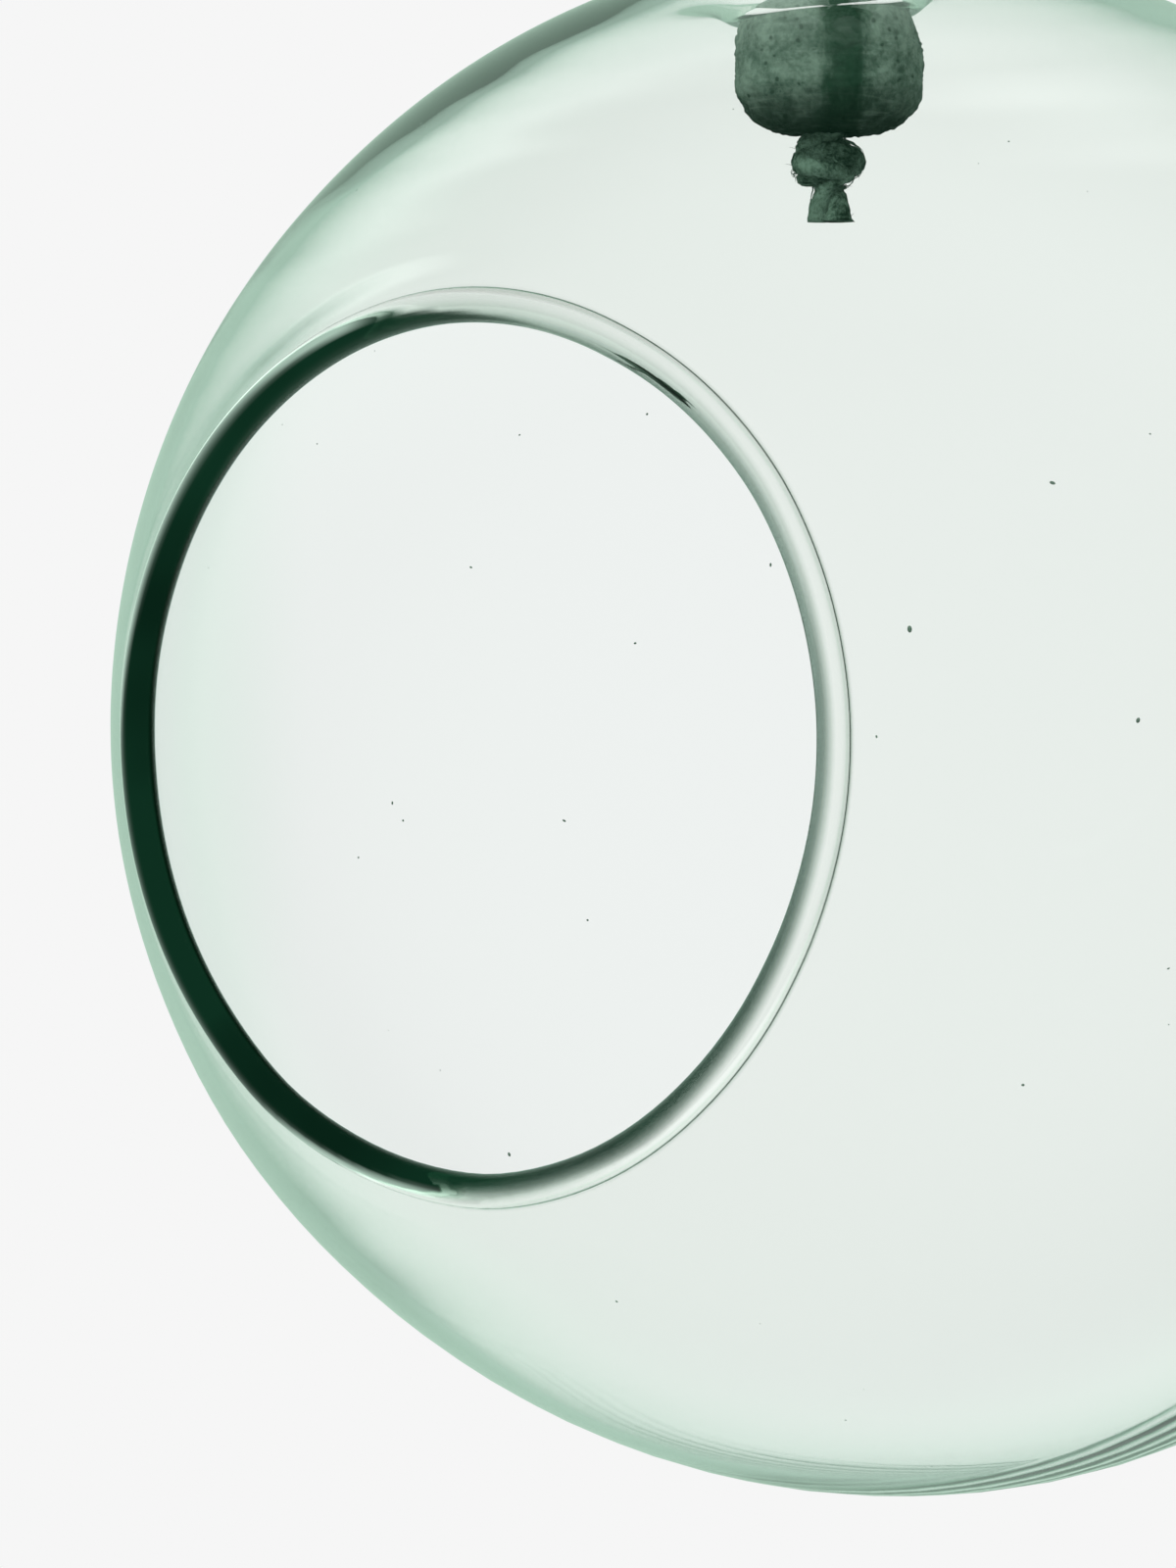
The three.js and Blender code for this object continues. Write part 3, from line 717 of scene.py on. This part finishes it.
def globePoints():
    middleRadius = glass["radius"] - glass["wall"] / 2
    lipCone = asin(glass["lipRing"] / glass["lipReach"])
    drawCone = glass["lipDraw"] / glass["lipReach"]

    def reachFor(cone):
        share = np.clip(1 - (cone - lipCone) / drawCone, 0, None)
        return middleRadius + glass["lipSpring"] * share ** 2

    cones = np.linspace(lipCone, lipCone + drawCone, 400)
    reachAt = reachFor(cones)
    steps = np.hypot(np.diff(reachAt), np.diff(cones) * reachAt[1:])
    lipAlong = np.concatenate(([0], np.cumsum(steps)))
    coneA = np.interp(glass["lipNet"], lipAlong, cones)
    coneB = asin(glass["crownRing"] / middleRadius)
    net = sphereNet(coneA, coneB, glass["columns"])
    body = net * reachFor(np.arccos(np.clip(-net[..., 1], -1, 1)))[..., None]

    # Fine rows from the net to the opening's bead, closest where bead meets wall
    closeFrom, closeTo = glass["lipClose"]
    lipRows = np.concatenate((np.linspace(glass["lipNet"], closeFrom, 9)[1:-1],
                              np.linspace(closeFrom, closeTo, 24), np.linspace(glass["lipInner"], 0, 4)))
    rowCones = np.interp(lipRows, lipAlong, cones)[:, None, None]
    forward = np.array((0, -1, 0))
    lip = reachFor(rowCones) * (np.sin(rowCones) * unit(net[-1] * (1, 0, 1)) + np.cos(rowCones) * forward)

    # Rows over the dipped crown to its bead
    start = np.array((glass["crownRing"], middleRadius * cos(coneB)))
    end = np.array((glass["crownLip"], glass["crownLipHeight"]))
    bendAt = (start[0] + end[0]) / 2
    bend = np.array((bendAt, start[1] + (start[0] - bendAt) * start[0] / start[1]))
    way = np.linspace(0, 1, glass["crownRows"] + 1)[:-1, None]
    bow = (1 - way) ** 2 * end + 2 * way * (1 - way) * bend + way ** 2 * start
    about = unit(net[0] * (1, 1, 0))
    crownRows = bow[:, :1, None] * about + bow[:, 1:, None] * np.array((0, 0, 1))

    # The opening strays from its circle, and takes the wall round it along
    middle = np.concatenate((crownRows, body, lip))
    reach = np.linalg.norm(middle, axis=2)
    cone = np.arccos(-middle[..., 1] / reach)
    angle = np.degrees(np.arctan2(middle[..., 2], middle[..., 0]))
    off = (cone - lipCone) * glass["lipReach"] / glass["wanderReach"]
    stray = roundOpening(glass["lipWander"], angle) * mm * np.exp(-off ** 2)
    cone = (cone + stray / glass["lipReach"])[..., None]
    middle = reach[..., None] * (np.sin(cone) * unit(middle * (1, 0, 1)) + np.cos(cone) * forward)
    beadAway = np.full(len(middle), 1.0)
    beadAway[-len(lipRows):] = lipRows
    crownAway = np.full(len(middle), 1.0)
    crownSteps = np.linalg.norm(np.diff(bow, axis=0), axis=1)
    crownAway[:len(bow)] = np.concatenate(([0], np.cumsum(crownSteps)))
    return middle, beadAway, crownAway


def beadHalf(away, bead, wallHalf):
    rod = np.sqrt(np.clip(bead ** 2 - away ** 2, 0, None))
    blend = (rod + wallHalf + np.sqrt((rod - wallHalf) ** 2 + glass["joint"] ** 2)) / 2
    return np.where(away > 2 * bead, wallHalf, np.minimum(blend, bead))


def globePiece(material):
    wallHalf = glass["wall"] / 2
    middle, beadAway, crownAway = globePoints()
    towards = unit(middle)
    world = towards @ lean.T

    def patch(angle, height, spread):
        centre = cos(radians(angle)) * viewRight + sin(radians(angle)) * viewUp
        off = np.degrees(np.arccos(np.clip(world @ centre, -1, 1)))
        return height * mm * np.exp(-off ** 2 / (2 * spread ** 2))

    def noiseAt(scale, start=(0, 0, 0)):
        places = towards.reshape(-1, 3) * scale + np.array(start)
        return np.array([noise.noise(Vector(place)) for place in places]).reshape(world.shape[:2])

    swell = sum(patch(*bulge) for bulge in glass["bulges"])
    fromCrown = np.degrees(np.arccos(np.clip(towards[..., 2], -1, 1)))
    swell = swell * smoothStep((fromCrown - glass["bulgeClear"]) / glass["bulgeClear"])
    middle = middle + swell[..., None] * towards
    down = np.gradient(middle, axis=0)
    beside = np.roll(middle, -1, axis=1) - np.roll(middle, 1, axis=1)
    normals = unit(np.cross(beside, down))
    if (normals * towards).sum() < 0:
        normals = -normals
    half = np.maximum(beadHalf(beadAway, glass["lipBead"], wallHalf),
                      beadHalf(crownAway, glass["crownBead"], wallHalf))[:, None]
    plain = (smoothStep((beadAway - glass["beadClear"]) / glass["lipFade"])
             * smoothStep((crownAway - glass["beadClear"]) / glass["crownFade"]))[:, None]
    cords = noiseAt(glass["cordScale"])
    base = smoothStep((-towards[..., 2] - glass["baseFrom"]) / glass["baseOver"])
    extra = patch(*glass["thicker"]) - glass["baseThinner"] * base + glass["cordInside"] * cords
    extra = (extra + glass["unevenWall"] * noiseAt(glass["unevenScale"], glass["unevenFrom"])) * plain
    outer = middle + (half + glass["cordOutside"] * cords * plain)[..., None] * normals
    inner = middle - (half + extra)[..., None] * normals

    def beadTip(row, nextRow, steps):
        out = unit(middle[row] - middle[nextRow])
        swing = (pi * np.arange(1, steps) / steps)[:, None, None]
        return middle[row] + half[row, 0] * (np.cos(swing) * normals[row] + np.sin(swing) * out)

    lipTip = beadTip(-1, -2, glass["lipSteps"])
    crownTip = beadTip(0, 1, glass["crownSteps"])
    shell = np.concatenate((outer, lipTip, inner[::-1], crownTip[::-1]))
    rows, columns = shell.shape[:2]
    points = shell.reshape(-1, 3) @ lean.T + globeCentre
    piece = makePiece("blown_globe", [(points, tubeFaces(rows, columns, closed=True))], material)
    lipAngle = np.degrees(np.arctan2(middle[-1][:, 2], middle[-1][:, 0])) % 360
    paintLip(piece, lipAngle, beadAway, len(crownTip))
    return piece


def paintLip(piece, lipAngle, beadAway, crownCount):
    def at(name, column=1):
        return roundOpening(glass[name], lipAngle, column)

    # How far each row lies round the opening's bead towards the hole
    swing = 180 * np.arange(1, glass["lipSteps"]) / glass["lipSteps"]
    swing = np.minimum(swing, 180 - swing)
    behind = -np.degrees(np.arcsin(np.clip(beadAway / glass["lipBead"], 0, 1)))
    rimSide = np.concatenate((behind, swing, behind[::-1], np.full(crownCount, -90)))[:, None]
    # Painted shade round the bead, darker towards the hole
    rimShade = np.clip(rimSide / 90 * at("rimShadeGain"), 0, 1)
    # Painted shade: the dark band on the bead
    shade = np.clip((rimSide - at("shadeFrom")) / at("shadeOver"), 0, 1) * at("shadeDeep")
    shade = 1 - 10 ** (-glass["shadePower"] * shade)
    shade[len(beadAway) + glass["shadeRows"]:] = 0
    # Painted sheen: emitted light over the outer part of the dark band
    begins, over, ends, strength = (at("sheen", column) for column in range(1, 5))
    sheen = strength * smoothStep((begins - rimSide) / over)
    sheen = sheen * smoothStep((rimSide - ends) / glass["sheenFade"])
    sheen[len(beadAway) + glass["sheenRows"]:] = 0

    # Painted shade along the crease between bead and wall, by how near each row lies to it
    past = beadAway - glass["creaseAway"]
    creaseShade = np.where(past < 0, smoothStep(1 + past / glass["creaseInside"]) ** glass["creasePower"],
                      np.exp(-(past / glass["creaseOutside"]) ** 2))
    creaseShade = np.concatenate((creaseShade, 0 * swing, creaseShade[::-1], np.zeros(crownCount)))[:, None]
    creaseShade = creaseShade * at("creaseShadeGain")
    for name, values in (("rimShade", rimShade), ("shade", shade), ("creaseShade", creaseShade), ("sheen", sheen)):
        layer = piece.data.attributes.new(name, "FLOAT", "POINT")
        layer.data.foreach_set("value", values.ravel())


def glassMarks(tree, colour):
    heading = headingFrom(tree, placeOn(tree), globeCentre)
    high = addNode(tree, "SeparateXYZ", {"Vector": heading}).outputs["Z"]
    across = dot(tree, heading, viewRight)
    near = dot(tree, heading, viewBack)
    mouth = doMath(tree, "ARCCOSINE", dot(tree, heading, mouthAxis))
    ringAside = radians(glass["ringAside"])
    ringAxis = cos(ringAside) * viewBack - sin(ringAside) * viewRight
    cone = doMath(tree, "ARCCOSINE", dot(tree, heading, ringAxis))

    def rises(value, name):
        return ramp(tree, value, *glass[name])

    def falls(value, name):
        return fall(tree, value, *glass[name])

    waver = times(tree, noiseValue(tree, heading, *glass["ringNoise"]), glass["ringWaver"])
    pace = turn * glass["radius"] / glass["ringPitch"]
    wave = doMath(tree, "SINE", doMath(tree, "ADD", times(tree, cone, pace), waver))
    window = times(tree, rises(cone, "ringFrom"), falls(cone, "ringTo"), falls(high, "ringLow"),
                   rises(across, "ringLeft"), falls(across, "ringRight"), rises(near, "ringNear"))
    bump = addNode(tree, "Bump", {
        "Height": times(tree, wave, window), "Strength": 1.0, "Distance": glass["ringRise"]})
    # Painted shade in the rings' troughs
    ringShade = times(tree, rises(wave, "ringShadeFade"), window, falls(across, "ringShadeRight"))
    farSide = times(tree, falls(near, "farBack"), falls(across, "farLeft"))
    # Painted shade: a grey streak outside the lip
    streakShade = times(tree, rises(mouth, "streakShadeFrom"), falls(mouth, "streakShadeTo"), rises(high, "streakShadeLow"),
                 falls(high, "streakShadeHigh"), falls(across, "streakShadeLeft"))
    for mask, tint in ((ringShade, "ringShadeColour"), (farSide, "farColour"), (streakShade, "streakShadeColour")):
        colour = mix(tree, mask, colour, glass[tint], "MULTIPLY")
    return bump.outputs["Normal"], colour


def glassMaterial():
    material, tree = newMaterial("glass")
    rimShade, shade, creaseShade, sheen = [addNode(tree, "Attribute", attribute_name=name).outputs["Fac"]
                                 for name in ("rimShade", "shade", "creaseShade", "sheen")]
    # Painted shade: the bead darker towards the hole
    rimShades = addNode(tree, "ValToRGB", {"Fac": rimShade})
    stops = rimShades.color_ramp.elements
    while len(stops) < len(glass["rimShadeTints"]):
        stops.new(1.0)
    for stop, (angle, tone) in zip(stops, glass["rimShadeTints"]):
        stop.position, stop.color = angle / 90, (*tone, 1)
    # Painted shade along the bead's crease
    colour = mix(tree, creaseShade, rimShades.outputs["Color"], glass["creaseShadeColour"], "MULTIPLY")
    # Painted shade: the bead's dark band
    colour = mix(tree, shade, colour, glass["shadeColour"])
    normal, colour = glassMarks(tree, colour)
    # Painted glow: light emitted by the glass, stronger in the shaded band
    patches = ramp(tree, noiseValue(tree, placeOn(tree), *glass["glowNoise"]), *glass["glowPatches"])
    glow = mix(tree, times(tree, shade, patches), glass["glowPlain"], glass["glowShade"])
    # Painted sheen: emitted light on the bead
    glow = mix(tree, sheen, glow, glass["sheenColour"])
    shader = addNode(tree, "BsdfPrincipled", {
        "Base Color": colour, "Roughness": 0.0, "IOR": glass["bending"], "Transmission Weight": 1.0,
        "Specular Tint": glass["mirrorTint"], "Emission Color": glow, "Emission Strength": 1.0,
        "Normal": normal})
    clear = addNode(tree, "BsdfTransparent", {"Color": glass["shadowTint"]})
    light = addNode(tree, "LightPath").outputs
    passes = doMath(tree, "MAXIMUM", light["Is Shadow Ray"], light["Is Diffuse Ray"])
    surface = mixShader(tree, passes, shader.outputs["BSDF"], clear.outputs["BSDF"])
    tint = [1 - value / glass["density"] for value in glass["absorb"]]
    volume = addNode(tree, "VolumeAbsorption", {"Color": (*tint, 1), "Density": glass["density"]})
    addNode(tree, "OutputMaterial", {"Surface": surface, "Volume": volume.outputs["Volume"]})
    return material


# Seeds and specks caught in the glass: a few by their places in the photograph, the rest at random
seeds = dict(
    # Across, down and size, in pixels of the photograph
    seen=((520, 303, 3.2), (659, 421, 2.6), (478, 578, 2.2), (647, 656, 2.4), (927, 643, 4.5),
          (898, 752, 3.5), (397, 820, 2.6), (408, 838, 2.6), (574, 838, 2.4), (362, 876, 2.0),
          (598, 940, 2.4), (517, 1181, 3.6), (1073, 494, 3.4), (1160, 735, 4.0), (1043, 1105, 2.8)),
    pixel=0.15 * mm,  # one pixel of the photograph at the globe
    holeCone=36,  # degrees from the opening's axis
    count=46, sizes=(0.07 * mm, 0.19 * mm), seed=61, clearOfLip=0.78, clearOfCrown=0.9,
    stretch=(1, 1.9), flatness=0.7,
    grain=(900.0, 4000.0), dark=linear(70, 92, 80), light=linear(110, 130, 118), roughness=0.6)


def seedPiece():
    draw = np.random.default_rng(seeds["seed"])
    ball = bmesh.new()
    bmesh.ops.create_icosphere(ball, subdivisions=2, radius=1)
    shape = np.array([corner.co[:] for corner in ball.verts])
    faces = [[corner.index for corner in face.verts] for face in ball.faces]
    ball.free()
    reach = glass["radius"] - glass["wall"] / 2
    places = []
    eye = photo["distance"] * viewBack
    width, height = photo["size"]
    for across, down, size in seeds["seen"]:
        ray = unit(cameraTurn @ np.array((across - width / 2, height / 2 - down, -photo["focal"])))
        nearest = -eye.dot(ray)
        half = sqrt(max(0, reach ** 2 - eye.dot(eye) + nearest ** 2))
        near, far = eye + (nearest - half) * ray, eye + (nearest + half) * ray
        inHole = unit(near).dot(mouthAxis) > cos(radians(seeds["holeCone"]))
        places.append((far if inHole else near, size * seeds["pixel"] / 2))
    while len(places) < seeds["count"] + len(seeds["seen"]):
        way = unit(draw.normal(0, 1, 3))
        if way.dot(mouthAxis) < seeds["clearOfLip"] and way.dot(lean[:, 2]) < seeds["clearOfCrown"]:
            places.append((reach * way, draw.uniform(*seeds["sizes"])))
    parts = []
    for place, size in places:
        out = unit(place)
        along = unit(np.cross(out, unit(draw.normal(0, 1, 3))))
        axes = np.stack((along * draw.uniform(*seeds["stretch"]), np.cross(out, along),
                         out * seeds["flatness"]))
        parts.append((place + size * shape @ axes + globeCentre, faces))
    material, tree = newMaterial("seed")
    colour, _ = addMottle(tree, placeOn(tree), seeds)
    shader = addNode(tree, "BsdfPrincipled", {"Base Color": colour, "Roughness": seeds["roughness"]})
    addNode(tree, "OutputMaterial", {"Surface": shader.outputs["BSDF"]})
    return makePiece("glass_seeds", parts, material)


seedsPiece = seedPiece()
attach(seedsPiece, "globe")
globe = globePiece(glassMaterial())
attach(globe, "globe")
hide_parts("glass_globe")
print("globe done")

# Floor and light: a pale floor that fades out, a plain white surround and one soft lamp
studio = dict(
    floorDrop=0.3, floorRadius=1.5, floorSides=96, floorColour=(0.6, 0.6, 0.6, 1),
    floorFade=(0.35, 0.98),  # shares of that radius
    backdrop=(0.9216, 0.9216, 0.9216, 1),
    # The backdrop through the glass, high up in it, mirrored by it, and after more reflections
    through=(0.9, 0.912, 0.918, 1), throughHigh=(1.06, 1.07, 1.08, 1), highFade=(0.085, 0.135),
    mirror=(0.46, 0.65, 0.53, 1),
    once=(0.43, 0.6, 0.52, 1), twice=(0.36, 0.52, 0.43, 1), deep=(0.3, 0.46, 0.38, 1),
    # What the glass mirrors from the viewer's side, and from beside the backdrop
    unlit=(0.02, 0.05, 0.035, 1), unlitFade=(-0.1, 0.75), unlitAbove=0.48, unlitRight=0.2,
    beside=(0.72, 0.88, 0.79, 1), besideFade=(0.68, 0.9),
    above=(1.1, 1.1, 1.1, 1), beneath=(0.4, 0.4, 0.4, 1), aboveFade=(-0.8, 0.8),
    lampPower=18, lampSize=1.2, lampAt=(0.05, -1.4, 1.1))


def glassSight(tree, heading):
    # What a ray that has met glass sees: bright straight through, dimmer after each reflection,
    # and dark where it comes back towards the viewer.
    light = addNode(tree, "LightPath").outputs
    depth = light["Glossy Depth"]
    once = doMath(tree, "GREATER_THAN", depth, 0.5)
    outside = doMath(tree, "LESS_THAN", light["Transmission Depth"], 0.5)
    beside = fall(tree, dot(tree, heading, -viewBack), *studio["besideFade"])
    litAxis = -viewBack - studio["unlitAbove"] * viewUp - studio["unlitRight"] * viewRight
    unlit = fall(tree, dot(tree, heading, litAxis), *studio["unlitFade"])
    high = ramp(tree, dot(tree, heading, viewUp), *studio["highFade"])
    seen = mix(tree, high, studio["through"], studio["throughHigh"])
    for mask, tone in ((once, "once"), (times(tree, once, outside), "mirror"),
                       (times(tree, once, beside), "beside"), (times(tree, once, unlit), "unlit"),
                       (doMath(tree, "GREATER_THAN", depth, 1.5), "twice"),
                       (doMath(tree, "GREATER_THAN", depth, 2.5), "deep")):
        seen = mix(tree, mask, seen, studio[tone])
    bent = doMath(tree, "MAXIMUM", light["Is Glossy Ray"], light["Is Transmission Ray"])
    return light, seen, bent, once


def makeWorld():
    world = bpy.data.worlds.new("studio")
    scene.world = world
    world.use_nodes = True
    tree = world.node_tree
    tree.nodes.clear()
    heading = addNode(tree, "TexCoord").outputs["Generated"]
    light, seen, bent, _ = glassSight(tree, heading)
    height = addNode(tree, "SeparateXYZ", {"Vector": heading}).outputs["Z"]
    lit = mix(tree, ramp(tree, height, *studio["aboveFade"]), studio["beneath"], studio["above"])
    colour = mix(tree, bent, lit, seen)
    colour = mix(tree, light["Is Camera Ray"], colour, studio["backdrop"])
    back = addNode(tree, "Background", {"Color": colour, "Strength": 1.0})
    addNode(tree, "OutputWorld", {"Surface": back.outputs["Background"]})


def makeFloor():
    material, tree = newMaterial("floor")
    place = placeOn(tree)
    floorZ = cadLow.z - studio["floorDrop"]
    heading = headingFrom(tree, place, (0, 0, globeCentre[2] - floorZ))
    _, seen, bent, once = glassSight(tree, heading)
    away = addNode(tree, "VectorMath", {0: place}, operation="LENGTH").outputs["Value"]
    radius, sides = studio["floorRadius"], studio["floorSides"]
    fade = ramp(tree, away, *(radius * share for share in studio["floorFade"]))
    paint = addNode(tree, "BsdfDiffuse", {"Color": studio["floorColour"]})
    glow = addNode(tree, "Emission", {"Color": seen, "Strength": 1.0})
    surface = mixShader(tree, times(tree, bent, once), paint.outputs["BSDF"], glow.outputs["Emission"])
    clear = addNode(tree, "BsdfTransparent")
    surface = mixShader(tree, fade, surface, clear.outputs["BSDF"])
    addNode(tree, "OutputMaterial", {"Surface": surface})
    angle = turn * np.arange(sides) / sides
    disc = np.stack((radius * np.cos(angle), radius * np.sin(angle), 0 * angle), axis=1)
    floor = makePiece("floor", [(disc, [list(range(sides))])], material)
    floor.location = (globeCentre[0], globeCentre[1], floorZ)


def makeLamp():
    data = bpy.data.lights.new("lamp", "AREA")
    data.shape, data.size, data.energy = "DISK", studio["lampSize"], studio["lampPower"]
    lamp = bpy.data.objects.new("lamp", data)
    scene.collection.objects.link(lamp)
    place = Vector(studio["lampAt"])
    lamp.location = Vector(globeCentre) + place
    lamp.rotation_euler = place.to_track_quat("Z", "Y").to_euler()
    lamp.visible_camera = lamp.visible_glossy = lamp.visible_transmission = False


makeWorld()
makeFloor()
makeLamp()
print("studio done")
